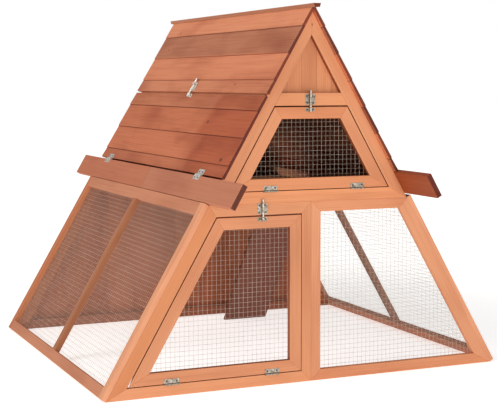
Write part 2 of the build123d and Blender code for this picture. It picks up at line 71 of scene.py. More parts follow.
# %% [markdown]
# Colours are written as sRGB hex values, as a paint chart gives them. Shaders work on linear light,
# so one function turns hex to linear. A second one adds a node with its settings and links, which
# keeps each material readable as a list of what the surface is made of. Inputs are given by number
# where their names repeat: 1 to 4 of a Map Range are the two ends it reads and the two ends it
# writes, 4 and 5 of a Mix are its vectors, and 6 and 7 are its colours.

# %% Colour and node helpers
MIXED_COLOUR = 2              # the output of a Mix node that carries its colour
MIXED_VECTOR = 1


def linear(hex_colour):
    """Linear RGBA of an sRGB hex value such as "C08040"."""
    shares = [int(hex_colour[i:i + 2], 16) / 255 for i in (0, 2, 4)]
    return [c / 12.92 if c <= 0.04045 else ((c + 0.055) / 1.055) ** 2.4 for c in shares] + [1.0]


def add(tree, kind, inputs=None, **settings):
    """Adds a shader node; an input that is a socket is linked, any other value is set."""
    node = tree.nodes.new("ShaderNode" + kind)
    for key, value in settings.items():
        setattr(node, key, value)
    for key, value in (inputs or {}).items():
        if isinstance(value, bpy.types.NodeSocket):
            tree.links.new(value, node.inputs[key])
        else:
            node.inputs[key].default_value = value
    return node


def new_material(name):
    """An empty material, with its node tree."""
    material = bpy.data.materials.new(name)
    material.use_nodes = True
    material.node_tree.nodes.clear()
    return material, material.node_tree


print("white is", linear("FFFFFF"))

# %% [markdown]
# ## Stained fir
#
# The whole coop is fir, planed smooth and dipped in an orange-brown stain. What the eye gets from it
# is long grain that follows each board, a few dark knots with the grain bending round them, patches
# where the stain soaked in deeper, and dark end grain. A flat picture of wood would run straight
# across the mitres, so the figure is worked out in three dimensions instead, from three directions
# for every kind of member: along the grain, across the face, and through the board. Both slopes lean
# by the same angle, so the slanting members use the distance from the middle, and one set of
# directions serves the left side and the right.

# %% Directions of the grain
lean = math.radians(60)
ramp_lean = math.radians(54)
up_slope = (-math.cos(lean), 0.0, math.sin(lean))
off_slope = (math.sin(lean), 0.0, math.cos(lean))
up_ramp = (0.0, -math.cos(ramp_lean), math.sin(ramp_lean))
off_ramp = (0.0, math.sin(ramp_lean), math.cos(ramp_lean))
X_AXIS, Y_AXIS, Z_AXIS = (1.0, 0.0, 0.0), (0.0, 1.0, 0.0), (0.0, 0.0, 1.0)
GRAIN = {
    "rail": (X_AXIS, Z_AXIS, Y_AXIS),
    "upright": (Z_AXIS, X_AXIS, Y_AXIS),
    "slant": (up_slope, off_slope, Y_AXIS),
    "stile": (up_slope, off_slope, Y_AXIS),
    "side_upright": (up_slope, Y_AXIS, off_slope),
    "long": (Y_AXIS, up_slope, off_slope),
    "flat": (Y_AXIS, X_AXIS, Z_AXIS),
    "ramp": (up_ramp, X_AXIS, off_ramp),
    "cleat": (X_AXIS, up_ramp, off_ramp),
}
MIRRORED = ("slant", "stile", "side_upright", "long")
CENTRE_POST = 0.15            # a stile nearer the middle than this stands upright
print("kinds of member", sorted(GRAIN))

# %% [markdown]
# A shader sees one point at a time, so the first step measures that point along the three directions.
# On a mirrored member the point and the way its face looks are flipped to one side first. A pair of
# stiles has one upright member and one slanting member, so there the directions themselves are
# chosen by how far the point is from the middle.

# %% Measure along the grain
def lie_of_grain(tree, way):
    """Distances along, across and through, the face's normal, the directions, and the side."""
    place = add(tree, "TexCoord")
    spot, facing = place.outputs["Object"], place.outputs["Normal"]
    sideways = add(tree, "SeparateXYZ", {0: spot}).outputs[0]
    side = 0.0
    if way in MIRRORED:
        side = add(tree, "Math", {0: sideways}, operation="SIGN").outputs[0]
        flip = add(tree, "CombineXYZ", {0: side, 1: 1.0, 2: 1.0}).outputs[0]
        spot = add(tree, "VectorMath", {0: spot, 1: flip}, operation="MULTIPLY").outputs[0]
        facing = add(tree, "VectorMath", {0: facing, 1: flip}, operation="MULTIPLY").outputs[0]
    axes = list(GRAIN[way])
    if way == "stile":
        off_middle = add(tree, "Math", {0: sideways}, operation="ABSOLUTE").outputs[0]
        outer = add(tree, "Math", {0: off_middle, 1: CENTRE_POST}, operation="GREATER_THAN").outputs[0]
        for i, pair in enumerate(zip(GRAIN["upright"], GRAIN["slant"])):
            chosen = add(tree, "Mix", {0: outer, 4: pair[0], 5: pair[1]}, data_type="VECTOR")
            axes[i] = chosen.outputs[MIXED_VECTOR]
    parts = [
        add(tree, "VectorMath", {0: spot, 1: axis}, operation="DOT_PRODUCT").outputs["Value"]
        for axis in axes
    ]
    return parts, facing, axes, side


print("mirrored members", MIRRORED)

# %% [markdown]
# Two boards side by side come from different logs. Dividing the distance across by a board's width
# and rounding down numbers the boards, and white noise turns each number into a tone of its own and
# a shift that starts its figure at another place.

# %% Number the boards
BOARD_SHIFT = (9.0, 3.0, 3.0)  # at most, and far more than any board is long or wide


def board_numbers(tree, parts, side, board, first, seed):
    """The place in the figure, the count of boards across, and each board's chance value."""
    shifted = add(tree, "Math", {0: parts[1], 1: first}, operation="SUBTRACT").outputs[0]
    across = add(tree, "Math", {0: shifted, 1: board}, operation="DIVIDE").outputs[0]
    number = add(tree, "Math", {0: across}, operation="FLOOR").outputs[0]
    key = add(tree, "CombineXYZ", {0: number, 1: side, 2: seed}).outputs[0]
    chance = add(tree, "TexWhiteNoise", {"Vector": key}, noise_dimensions="3D").outputs
    grain = add(tree, "CombineXYZ", {0: parts[0], 1: parts[1], 2: parts[2]}).outputs[0]
    moved = {0: chance["Color"], 1: BOARD_SHIFT}
    offset = add(tree, "VectorMath", moved, operation="MULTIPLY").outputs[0]
    figure_at = add(tree, "VectorMath", {0: grain, 1: offset}, operation="ADD").outputs[0]
    return figure_at, across, chance["Value"]


print("board shift", BOARD_SHIFT)

# %% [markdown]
# Knots are where branches left the trunk: up to 19 mm across and a couple of hand spans apart, longer
# along the grain than across it. A Voronoi texture gives one place in each long cell, and luck
# leaves most cells empty. The grain flows round a knot, so the place in the figure is pushed aside
# near it.

# %% Knots
KNOT_CELL = Vector((0.34, 0.085, 1.0))
KNOT_LONG = (0.7, 1.0, 0.0)   # distance counts less along the grain, which makes an oval
KNOT_BIGGEST = 0.0095         # radius
KNOT_HEART = 0.55             # the share of a knot that is dark right through
KNOT_REACH = 0.035
KNOT_PUSH = 0.99              # the grain beside a knot moves by this share of its radius


def knots_in(tree, figure_at, knots):
    """A mask of the knots, and the place in the figure bent round them."""
    cells = add(tree, "VectorMath", {0: figure_at, 1: KNOT_CELL}, operation="DIVIDE").outputs[0]
    settings = {"Vector": cells, "Scale": 1.0, "Randomness": 0.8}
    knot = add(tree, "TexVoronoi", settings, voronoi_dimensions="2D").outputs
    placed = {0: knot["Position"], 1: KNOT_CELL}
    middle = add(tree, "VectorMath", placed, operation="MULTIPLY").outputs[0]
    away = add(tree, "VectorMath", {0: figure_at, 1: middle}, operation="SUBTRACT").outputs[0]
    away = add(tree, "VectorMath", {0: away, 1: KNOT_LONG}, operation="MULTIPLY").outputs[0]
    near = add(tree, "VectorMath", {0: away}, operation="LENGTH").outputs["Value"]
    luck = add(tree, "SeparateColor", {0: knot["Color"]}).outputs[0]
    size = add(tree, "MapRange", {0: luck, 1: 1.0 - knots, 2: 1.0, 3: 0.0, 4: KNOT_BIGGEST}).outputs[0]
    heart = add(tree, "Math", {0: size, 1: KNOT_HEART}, operation="MULTIPLY").outputs[0]
    mask = add(tree, "MapRange", {0: near, 1: heart, 2: size, 3: 1.0, 4: 0.0}).outputs[0]
    fading = {0: near, 1: 0.0, 2: KNOT_REACH, 3: KNOT_PUSH, 4: 0.0}
    bend = add(tree, "MapRange", fading, interpolation_type="SMOOTHSTEP").outputs[0]
    bent = add(tree, "Math", {0: bend, 1: size}, operation="MULTIPLY").outputs[0]
    push = add(tree, "CombineXYZ", {1: bent}).outputs[0]
    return mask, add(tree, "VectorMath", {0: figure_at, 1: push}, operation="ADD").outputs[0]


print("knot cell", KNOT_CELL)

# %% [markdown]
# The sizes of the figure are those of slow-grown fir: a ring every 4 to 6 mm on a flat-sawn face,
# streaks about 8 mm wide and a quarter of a metre long, and stain patches about 140 mm across. The
# finest fibres are well under a millimetre, too fine to show, so they are drawn 1.5 mm wide and only
# roughen the surface.

# %% Rings, streaks, fibres and stain patches
RING = 0.0052
RING_STRETCH = (0.11, 1.0, 0.5)
STREAK = Vector((1 / 0.25, 1 / 0.008, 1 / 0.008))
FIBRE = Vector((1 / 0.05, 1 / 0.0015, 1 / 0.0015))
PATCH = 1 / 0.14
PATCH_STRETCH = (0.45, 1.3, 1.0)
WAVE_TURN = 0.314             # a wave texture of scale 1 repeats at this distance


def figure_of(tree, figure_at, bent_at):
    """Four patterns from 0 to 1: late wood in the rings, streaks, fibres and soaked patches."""
    stretched = add(tree, "VectorMath", {0: bent_at, 1: RING_STRETCH}, operation="MULTIPLY").outputs[0]
    rings = add(tree, "TexWave", {
        "Vector": stretched, "Scale": WAVE_TURN / RING,
        "Distortion": 26.0, "Detail": 2.0, "Detail Scale": 0.22,
    }, wave_type="BANDS", bands_direction="Y", wave_profile="SIN")
    late = add(tree, "MapRange", {0: rings.outputs["Fac"], 1: 0.45, 2: 1.0, 3: 0.0, 4: 1.0})
    streak_at = add(tree, "VectorMath", {0: bent_at, 1: STREAK}, operation="MULTIPLY").outputs[0]
    streaks = add(tree, "TexNoise", {
        "Vector": streak_at, "Scale": 1.0, "Detail": 3.0, "Roughness": 0.6,
    })
    fibre_at = add(tree, "VectorMath", {0: figure_at, 1: FIBRE}, operation="MULTIPLY").outputs[0]
    fibres = add(tree, "TexNoise", {"Vector": fibre_at, "Scale": 1.0, "Detail": 2.0})
    spread = {0: figure_at, 1: PATCH_STRETCH}
    patch_at = add(tree, "VectorMath", spread, operation="MULTIPLY").outputs[0]
    soaked = add(tree, "TexNoise", {"Vector": patch_at, "Scale": PATCH, "Detail": 2.5})
    return [pattern.outputs[0] for pattern in (late, streaks, fibres, soaked)]


print("ring", RING, "streak", STREAK, "fibre", FIBRE)

# %% [markdown]
# Most members have one colour of stain. The roof's boards were dyed in different batches, so there a
# ramp with hard steps holds one colour for each. Two marks go over it where a member has them: a
# glued joint in the length of a board, with wood of another tone beyond it, and an end that is
# darker, with a ragged edge. A layer is how much of it there is at each place, its colour, and how
# it blends with what lies below.

# %% Stain
GLUE_LINE = 0.0012
GLUE_TONE = (0.6, 0.5, 0.45, 1.0)
DARK_END_TONE = (0.8, 0.63, 0.54, 1.0)
DARK_END_RAGGED = 0.22             # how far the patches push the edge of the darker end about
DARK_END_FADE = 0.02


def stain_of(tree, parts, colour, tones, board, splice):
    """The colour of the stain at each place, before the figure shows through it."""
    if tones:
        low, high = tones[0][0], tones[-1][0] + board
        reach = add(tree, "MapRange", {0: parts[1], 1: low, 2: high, 3: 0.0, 4: 1.0})
        chart = add(tree, "ValToRGB", {0: reach.outputs[0]})
        steps = chart.color_ramp.elements
        chart.color_ramp.interpolation = "CONSTANT"
        steps.remove(steps[1])
        for i, (edge, dye) in enumerate(tones):
            step = steps[0] if i == 0 else steps.new((edge - low) / (high - low))
            step.color = linear(dye)
        dyed = chart.outputs[0]
    else:
        dyed = add(tree, "RGB").outputs[0]
        dyed.default_value = linear(colour)
    if splice:
        joint, far_colour = splice
        beyond = add(tree, "Math", {0: parts[0], 1: joint}, operation="GREATER_THAN").outputs[0]
        far = {0: beyond, 6: dyed, 7: linear(far_colour)}
        dyed = add(tree, "Mix", far, data_type="RGBA").outputs[MIXED_COLOUR]
    return dyed


def joint_and_dark_end_marks(tree, parts, soaked, splice, dark_end):
    """The glue line and the darker end, as layers over the stain."""
    layers = []
    if splice:
        at_joint = {0: parts[0], 1: splice[0], 2: GLUE_LINE}
        line = add(tree, "Math", at_joint, operation="COMPARE").outputs[0]
        layers.append((line, GLUE_TONE, "MULTIPLY"))
    # the wood before this place along the grain is darker, with a ragged edge
    if dark_end is not None:
        ragged = {0: soaked, 1: DARK_END_RAGGED, 2: parts[0]}
        darkened = add(tree, "Math", ragged, operation="MULTIPLY_ADD").outputs[0]
        edge = dark_end + DARK_END_RAGGED / 2
        darkened = add(tree, "MapRange", {0: darkened, 1: edge + DARK_END_FADE, 2: edge - DARK_END_FADE, 3: 0.0, 4: 1.0})
        layers.append((darkened.outputs[0], DARK_END_TONE, "MULTIPLY"))
    return layers


print("wet edge", DARK_END_RAGGED, DARK_END_FADE)

# %% [markdown]
# Cut ends drink far more stain than faces, because the grain is open there. The long edges in the
# narrow gap round a door are darkened too, as painted shade of the gap. The face's normal says which
# of them a point is on. A thin dark line under the edge of a board that covers the next one is
# painted shadow of the lap.

# %% Ends, edges and laps
LAP = 0.003                   # the line reaches this far out from the covering edge
LAP_SHARP = 0.4               # the share of it that is at full strength
# the colour of the painted shadow under a covering board's edge
LAP_SHADE_TONE = (0.3, 0.19, 0.14, 1.0)
END_RATIO = (1.0, 0.5, 0.28)  # the shares of red, green and blue that stained end grain keeps
# the colour of the painted shade on long edges
EDGE_SHADE_RATIO = (1.0, 0.66, 0.48)
SQUARE_ON = (0.75, 0.9)       # the cosines between which a face comes to count as cut


def lap_shade_line(tree, across, board, lap_shade):
    """The painted shadow under each covering edge, as one layer."""
    up_board = add(tree, "Math", {0: across}, operation="FRACT").outputs[0]
    start, full = 1.0 - LAP / board, 1.0 - LAP_SHARP * LAP / board
    under = add(tree, "MapRange", {0: up_board, 1: start, 2: full, 3: 0.0, 4: lap_shade})
    return under.outputs[0], LAP_SHADE_TONE, "MULTIPLY"


def cut_faces(tree, facing, axis, keep, ratio):
    """The faces that look along an axis, as one layer."""
    along = add(tree, "VectorMath", {0: facing, 1: axis}, operation="DOT_PRODUCT").outputs["Value"]
    along = add(tree, "Math", {0: along}, operation="ABSOLUTE").outputs[0]
    mask = add(tree, "MapRange", {0: along, 1: SQUARE_ON[0], 2: SQUARE_ON[1]})
    return mask.outputs[0], (*(keep * share for share in ratio), 1.0), "MULTIPLY"


print("lap line", LAP)

# %% [markdown]
# The finish puts these together in the order of the real thing: the stain, the tone of the board,
# the figure that shows through and the knots; then come the painted shadow of the laps, the cut ends
# and the painted shade on the long edges round a door. Rings and fibres stand about a tenth of a
# millimetre proud, which is all that planed wood has, so the bump is slight. The stain is matt, and a
# little shinier where it lies thin.

# %% Stained fir
LATE_TONE = (0.62, 0.42, 0.34, 1.0)
STREAK_TONE = (0.66, 0.5, 0.42, 1.0)
PALE_TONE = (1.16, 1.22, 1.3, 1.0)
SOAKED_TONE = (0.62, 0.44, 0.36, 1.0)
KNOT_COLOUR = linear("6E3820")
RELIEF = 0.00035


def stained_fir(name, way, colour, board=10.0, first=0.0, tones=None, depth=0.45, seed=0.0,
                figure=0.4, knots=0.12, soak=0.6, end_tone=0.4, lap_shade=0.0, splice=None, dark_end=None,
                edge_shade=1.0):
    """Fir with its grain along one kind of member. board is the width of one board, first the place
    of a joint, and tones a list of (edge, colour) where boards are dyed differently. depth, figure
    and soak say how strongly tones, grain and patches show, and knots is the share of cells that
    hold one. lap_shade paints a shadow line where a board's edge covers the next one. splice is the
    place along the grain of a glued joint, and the colour beyond it. dark_end is the place along the
    grain before which the wood is darker. end_tone darkens the cut ends, and edge_shade paints shade
    on the long edges."""
    material, tree = new_material(name)
    parts, facing, axes, side = lie_of_grain(tree, way)
    figure_at, across, chance = board_numbers(tree, parts, side, board, first, seed)
    knot_mask, bent_at = knots_in(tree, figure_at, knots)
    late, streaks, fibres, soaked = figure_of(tree, figure_at, bent_at)
    dyed = stain_of(tree, parts, colour, tones, board, splice)
    tone = add(tree, "MapRange", {0: chance, 3: 1.0 - 0.16 * depth, 4: 1.0 + 0.14 * depth}).outputs[0]
    finished = add(tree, "VectorMath", {0: dyed, 3: tone}, operation="SCALE").outputs[0]
    layers = joint_and_dark_end_marks(tree, parts, soaked, splice, dark_end)
    # each pattern, the values where its layer starts and is full, its share, colour and blend
    for pattern, low, high, share, shade, blend in (
        (late, 0.0, 1.0, 0.34 * figure, LATE_TONE, "MULTIPLY"),
        (streaks, 0.48, 0.74, 0.55 * figure, STREAK_TONE, "MULTIPLY"),
        (streaks, 0.46, 0.26, 0.3 * figure, PALE_TONE, "MULTIPLY"),
        (soaked, 0.47, 0.72, 0.62 * soak, SOAKED_TONE, "MULTIPLY"),
        (knot_mask, 0.0, 1.0, 0.86, KNOT_COLOUR, "MIX"),
    ):
        strength = add(tree, "MapRange", {0: pattern, 1: low, 2: high, 3: 0.0, 4: share})
        layers.append((strength.outputs[0], shade, blend))
    # painted shadow: a dark line under the edge of each board that covers the next one
    if lap_shade:
        layers.append(lap_shade_line(tree, across, board, lap_shade))
    layers.append(cut_faces(tree, facing, axes[0], end_tone, END_RATIO))
    # painted shade: the long edges of these members are darkened, for the shade in the gap round a
    # door
    if edge_shade < 1.0:
        layers.append(cut_faces(tree, facing, axes[1], edge_shade, EDGE_SHADE_RATIO))
    for share, shade, blend in layers:
        layer = {0: share, 6: finished, 7: shade}
        mixed = add(tree, "Mix", layer, data_type="RGBA", blend_type=blend)
        finished = mixed.outputs[MIXED_COLOUR]
    height = add(tree, "Math", {0: late, 1: 0.7, 2: fibres}, operation="MULTIPLY_ADD").outputs[0]
    bump = add(tree, "Bump", {"Height": height, "Strength": 0.35, "Distance": RELIEF})
    rough = add(tree, "MapRange", {0: streaks, 1: 0.3, 2: 0.7, 3: 0.52, 4: 0.68})
    surface = add(tree, "BsdfPrincipled", {
        "Base Color": finished, "Roughness": rough.outputs[0],
        "Normal": bump.outputs[0], "Specular IOR Level": 0.35,
    })
    add(tree, "OutputMaterial", {0: surface.outputs[0]})
    return material


print("relief", RELIEF)

# %% [markdown]
# Now each wooden part gets its own piece of that timber. A maker takes boards from a mixed stack, so
# parts next to each other differ: pale foot rails, browner panels at the side, and roof boards that
# go from salmon to brown from one course to the next. The members of the right side and the back's
# rails are painted darker, as painted shade of the shaded inside of the run. The roof's courses are
# given one colour each, from the lowest edge up. Distances up a slope are those of the grain's own
# measure: its zero is the point of the slope nearest to the middle of the floor, and the slope's foot
# lies a little before it.

# %% Timber for every wooden part
ROOF_BOARD = 0.0815
WALL_BOARD = 0.0815
GABLE_BOARD = 0.044
HALF_BASE = 0.57
SLOPE_START = HALF_BASE * math.cos(lean)   # how far the foot of the slope lies before zero
RIDGE_JOINT = 1.087 - SLOPE_START          # the uppermost joint of the roof boards
FLAP_JOINT = 0.8306 - SLOPE_START          # the uppermost joint of the flap's boards
ROOF_TONES = [
    (RIDGE_JOINT - 6 * ROOF_BOARD, "BC7653"), (RIDGE_JOINT - 5 * ROOF_BOARD, "D0825A"),
    (RIDGE_JOINT - 4 * ROOF_BOARD, "C07653"), (RIDGE_JOINT - 3 * ROOF_BOARD, "DA8962"),
    (RIDGE_JOINT - 2 * ROOF_BOARD, "DC8860"), (RIDGE_JOINT - ROOF_BOARD, "BC7655"),
    (RIDGE_JOINT, "E08E66"),
]
FLAP_TONES = [
    (FLAP_JOINT - 3 * ROOF_BOARD, "CA7650"), (FLAP_JOINT - 2 * ROOF_BOARD, "CC764F"),
    (FLAP_JOINT - ROOF_BOARD, "D0774F"), (FLAP_JOINT, "C77953"),
]
STILE_TONES = [(-0.52, "EAA379"), (0.0, "C67A50")]   # the front one, then the back one
LEFT_STILE_TONES = [(-0.2, "E2986A"), (0.3, "D68A5A")]   # the upright one, then the slanting one
WEATHERED_WITH_LAP_SHADE = {"figure": 0.65, "knots": 0.3, "soak": 1.2, "end_tone": 0.3, "lap_shade": 0.85}
ROOF_SIDE = {"board": ROOF_BOARD, "first": RIDGE_JOINT, "tones": ROOF_TONES, **WEATHERED_WITH_LAP_SHADE}
INSIDE = {"figure": 0.8, "knots": 0.4, "soak": 1.0}
DOOR_GAP_SHADE = {"edge_shade": 0.4}   # painted shade on the long edges in the narrow gap round a door
# node: way, colour, and what else differs
TIMBER = {
    "front_left_rails": ("rail", "E39A6C", DOOR_GAP_SHADE),
    "front_left_stiles": ("stile", "", {
        "board": 0.5, "first": -0.2, "tones": LEFT_STILE_TONES, **DOOR_GAP_SHADE,
    }),
    "front_right_rails": ("rail", "E3976A", {}),
    "front_right_stiles": ("stile", "E49B70", {}),
    "gable_rafters": ("slant", "E09669", DOOR_GAP_SHADE),
    "gable_rails": ("rail", "E99B6A", {"board": 0.1, "first": 0.5, **DOOR_GAP_SHADE}),
    "gable_boards": ("upright", "DD9062", {
        "board": GABLE_BOARD, "first": -GABLE_BOARD / 2, "depth": 0.3,
    }),
    "lower_door_rails": ("rail", "E0966A", {"board": 0.2, **DOOR_GAP_SHADE}),
    "lower_door_stiles": ("stile", "E0966A", DOOR_GAP_SHADE),
    "upper_door_rails": ("rail", "E39465", {"board": 0.1, **DOOR_GAP_SHADE}),
    "upper_door_stiles": ("slant", "DE9468", DOOR_GAP_SHADE),
    "left_side_stiles": ("side_upright", "", {"board": 0.5, "first": -0.5, "tones": STILE_TONES}),
    "left_side_rails": ("long", "CC8663", {"board": 0.2}),
    "left_side_muntin": ("side_upright", "B4724C", {}),
    "right_side_stiles": ("side_upright", "", {"board": 0.5, "first": -0.5, "tones": STILE_TONES}),
    # painted shade: the right side's rails and muntin are darker, as they are seen in the shade inside
    # the run
    "right_side_rails": ("long", "B06C4C", {"board": 0.2}),
    "right_side_muntin": ("side_upright", "8C5038", {}),
    # painted shade: the back's rails are darker, to offset the light that the floor throws on them
    "back_rails": ("rail", "985438", {"board": 0.2, **INSIDE}),
    "back_stiles": ("stile", "A8623F", {}),
    "back_gable_rafters": ("slant", "D08A62", {}),
    "back_gable_rail": ("rail", "D08A62", {}),
    "back_wall_boards": ("upright", "AA5F3D", {"board": WALL_BOARD, "depth": 1.0, **INSIDE}),
    "back_gable_boards": ("upright", "8C4C35", {"board": WALL_BOARD, "depth": 1.0, **INSIDE}),
    "left_roof_boards": ("long", "", ROOF_SIDE),
    "right_roof_boards": ("long", "", ROOF_SIDE),
    "flap_boards": ("long", "", {
        "board": ROOF_BOARD, "first": FLAP_JOINT, "tones": FLAP_TONES, "dark_end": -0.2, **WEATHERED_WITH_LAP_SHADE,
    }),
    "ridge_cap": ("flat", "AA6944", {}),
    "left_handle_board": ("long", "BF7859", {
        "figure": 0.5, "end_tone": 0.22, "splice": (0.0, "C07250"),
    }),
    "right_handle_board": ("long", "964620", {"figure": 0.5, "end_tone": 0.4}),
    "roof_purlins": ("long", "C48763", {"board": 0.2}),
    "flap_battens": ("side_upright", "C48763", {"board": 0.3}),
    "floor_bearers": ("flat", "C48763", {"board": 0.2}),
    "ramp_board": ("ramp", "733C29", INSIDE),
    "ramp_cleats": ("cleat", "6E3A28", {"board": 0.062}),
}
for number, (node, (way, colour, extra)) in enumerate(TIMBER.items()):
    wood = stained_fir("stained_fir_" + node, way, colour, seed=number + 1.0, **extra)
    for i in range(max(1, len(nodes[node].data.materials))):
        nodes[node].material_slots[i].material = wood
print("wooden parts", len(TIMBER))

# %% [markdown]
# ## Plywood
#
# The house floor is 9 mm plywood with the same stain brushed on, which its tight face takes up as a
# dull brown. The face veneer is peeled from a turning log, so the figure is wide and cloudy, and the
# edge shows the plies as thin light and dark layers. Layers by height cost nothing and turn up only
# on the cut edges, because the faces are flat.

# %% Plywood
PLY = 0.0018
VENEER_STRETCH = (9.0, 1.6, 9.0)   # the figure runs along the coop, about six times as long as wide


def plywood():
    """Stained birch plywood: cloudy peeled figure on the face, layers on the edge."""
    material, tree = new_material("birch_plywood")
    place = add(tree, "TexCoord").outputs
    wide = add(tree, "Mapping", {"Vector": place["Object"], "Scale": VENEER_STRETCH}).outputs[0]
    figure = add(tree, "TexWave", {
        "Vector": wide, "Scale": 1.4, "Distortion": 7.0, "Detail": 3.0, "Detail Scale": 1.2,
    }, wave_type="BANDS", bands_direction="X").outputs["Fac"]
    veneer = {0: figure, 6: linear("80553C"), 7: linear("6E4633")}
    face = add(tree, "Mix", veneer, data_type="RGBA").outputs[MIXED_COLOUR]
    height = add(tree, "SeparateXYZ", {0: place["Object"]}).outputs[2]
    layer = add(tree, "Math", {0: height, 1: 2 * PLY}, operation="PINGPONG").outputs[0]
    dark = add(tree, "Math", {0: layer, 1: PLY}, operation="GREATER_THAN").outputs[0]
    plies = {0: dark, 6: linear("A87A50"), 7: linear("74492F")}
    edge = add(tree, "Mix", plies, data_type="RGBA").outputs[MIXED_COLOUR]
    upward = add(tree, "SeparateXYZ", {0: place["Normal"]}).outputs[2]
    upward = add(tree, "Math", {0: upward}, operation="ABSOLUTE").outputs[0]
    colour = add(tree, "Mix", {0: upward, 6: edge, 7: face}, data_type="RGBA").outputs[MIXED_COLOUR]
    surface = add(tree, "BsdfPrincipled", {"Base Color": colour, "Roughness": 0.62})
    add(tree, "OutputMaterial", {0: surface.outputs[0]})
    return material


nodes["house_floor"].material_slots[0].material = plywood()
print("plywood plies", PLY)

# %% [markdown]
# ## Zinc on steel
#
# Hinges, bolts and screws are thin pressed steel with a zinc plating, and the wires of the mesh are
# drawn steel, dipped in zinc after welding. The eye sees a pale grey metal with soft reflections that
# are a little uneven, because the plating follows the rolled surface of the sheet. Four finishes
# share that recipe. The doors' hardware is handled every day, so it is polished and a little warm and
# dull. The plating on the roof is painted whiter and made less metallic: a painted reflection of the
# light on the slope. The screws are a dark grey, and the dipped wire is pale and less shiny.

# %% Plated steel and galvanised wire
GRIT = 0.0012                 # finer on real plating, and drawn as coarse as it needs to show
GRIT_TALL = 0.0001


def zinc_steel(name, bright, dull, smooth, rough, cloud, metal=1.0):
    """Zinc on steel, from its brightest to its dullest colour and from its smoothest to its
    roughest; cloud is the size of its uneven patches, and metal is how metallic it is."""
    material, tree = new_material(name)
    place = add(tree, "TexCoord").outputs["Object"]
    patches = add(tree, "TexNoise", {"Vector": place, "Scale": 1 / cloud, "Detail": 3.0}).outputs[0]
    share = add(tree, "MapRange", {0: patches, 1: 0.38, 2: 0.66}).outputs[0]
    zinc = {0: share, 6: linear(bright), 7: linear(dull)}
    colour = add(tree, "Mix", zinc, data_type="RGBA").outputs[MIXED_COLOUR]
    polish = add(tree, "MapRange", {0: patches, 1: 0.3, 2: 0.7, 3: smooth, 4: rough}).outputs[0]
    grit = add(tree, "TexNoise", {"Vector": place, "Scale": 1 / GRIT, "Detail": 1.0}).outputs[0]
    bump = add(tree, "Bump", {"Height": grit, "Strength": 0.2, "Distance": GRIT_TALL}).outputs[0]
    surface = add(tree, "BsdfPrincipled", {
        "Base Color": colour, "Metallic": metal, "Roughness": polish, "Normal": bump,
    })
    add(tree, "OutputMaterial", {0: surface.outputs[0]})
    return material


plated = zinc_steel("zinc_plated_steel", "C8C1B4", "7E7463", 0.24, 0.4, 0.005)
# painted reflection: a whiter, less metallic copy of the plating for the roof's hardware
roof_plated_painted_sheen = zinc_steel("zinc_plated_steel_painted_sheen", "F2EEE6", "C8C0B2", 0.34, 0.5, 0.005, metal=0.55)
# the screw heads are a dark grey
screw_steel = zinc_steel("dark_screw_steel", "7C7265", "3E372F", 0.35, 0.5, 0.002)
galvanised = zinc_steel("galvanised_wire", "DED2C2", "C0B2A0", 0.4, 0.55, 0.02)
print("zinc", [finish.name for finish in (plated, roof_plated_painted_sheen, screw_steel, galvanised)])

# %% [markdown]
# The hardware keeps the shapes it came with, so it only needs its finish. The pieces on the roof and
# its flap get the plating with the painted reflection, and the pieces of the doors get the handled
# one.

# %% Finish for each piece of hardware
STEEL = [
    "lower_door_fixed_leaves", "upper_door_fixed_leaves", "flap_fixed_leaves", "hinge_pins",
    "lower_door_hinge_leaves", "upper_door_hinge_leaves", "flap_hinge_leaves",
    "lower_bolt_housing", "upper_bolt_housing", "roof_bolt_housing",
    "lower_bolt_keeper", "upper_bolt_keeper", "roof_bolt_keeper",
    "lower_bolt", "upper_bolt", "roof_bolt",
]
for node in STEEL:
    on_roof = node.startswith(("flap", "roof"))
    nodes[node].material_slots[0].material = roof_plated_painted_sheen if on_roof else plated
print("steel parts", len(STEEL))

# %% [markdown]
# ## The wire mesh
#
# Coop mesh is welded from two layers of straight wire, one lying on the other, 12.7 mm apart. It
# could be a plane with a see-through pattern, but that has no thickness and fails in a close view.
# So one wire is drawn as a thin six-sided rod and repeated by an array, once each way. The sheet is
# then cut by the edges of the part that it stands for, which gives the slanting ends that a
# fixer's snips would leave. Last, a slow cloud pattern pushes the wires about by a millimetre,
# because mesh from a roll never hangs quite true.

# %% Rows of wire
PITCH = 0.0127
WIRE = 0.00033                # radius
SECOND_LAYER = 2.7 * WIRE     # where the upper wires run, pressed a little into the lower ones
BEND_EVERY = 0.05             # a wire is cut into lengths of this, so that it can bend
WANDER = 0.0018               # the clouds push by up to half of this, either way
SMOOTH_BELOW = math.radians(40)

wander = bpy.data.textures.new("wire_wander", "CLOUDS")
wander.cloud_type = "COLOR"
wander.noise_scale = 0.11


def rod_row(at, turned, length, step, count):
    """One rod, cut into short lengths so that it can bend, and repeated count times by step."""
    tilt = math.pi / 2 if turned else 0
    bpy.ops.object.select_all(action="DESELECT")
    bpy.ops.mesh.primitive_cylinder_add(
        vertices=6, radius=WIRE, depth=length, location=at, rotation=(0, tilt, 0)
    )
    rod = bpy.context.object
    bpy.ops.object.transform_apply(location=True, rotation=True, scale=True)
    bpy.ops.object.mode_set(mode="EDIT")
    bpy.ops.mesh.select_all(action="DESELECT")
    bpy.ops.object.mode_set(mode="OBJECT")
    for edge in rod.data.edges:
        a, b = (rod.data.vertices[i].co for i in edge.vertices)
        edge.select = (a - b).length > length / 2
    bpy.ops.object.mode_set(mode="EDIT")
    bpy.ops.mesh.select_mode(type="EDGE")
    bpy.ops.mesh.subdivide(number_cuts=max(2, round(length / BEND_EVERY)))
    bpy.ops.object.mode_set(mode="OBJECT")
    row = rod.modifiers.new("row", "ARRAY")
    row.count = count
    row.use_relative_offset = False
    row.use_constant_offset = True
    row.constant_offset_displace = step
    bpy.ops.object.modifier_apply(modifier="row")
    return rod


print("pitch", PITCH, "wire radius", WIRE)

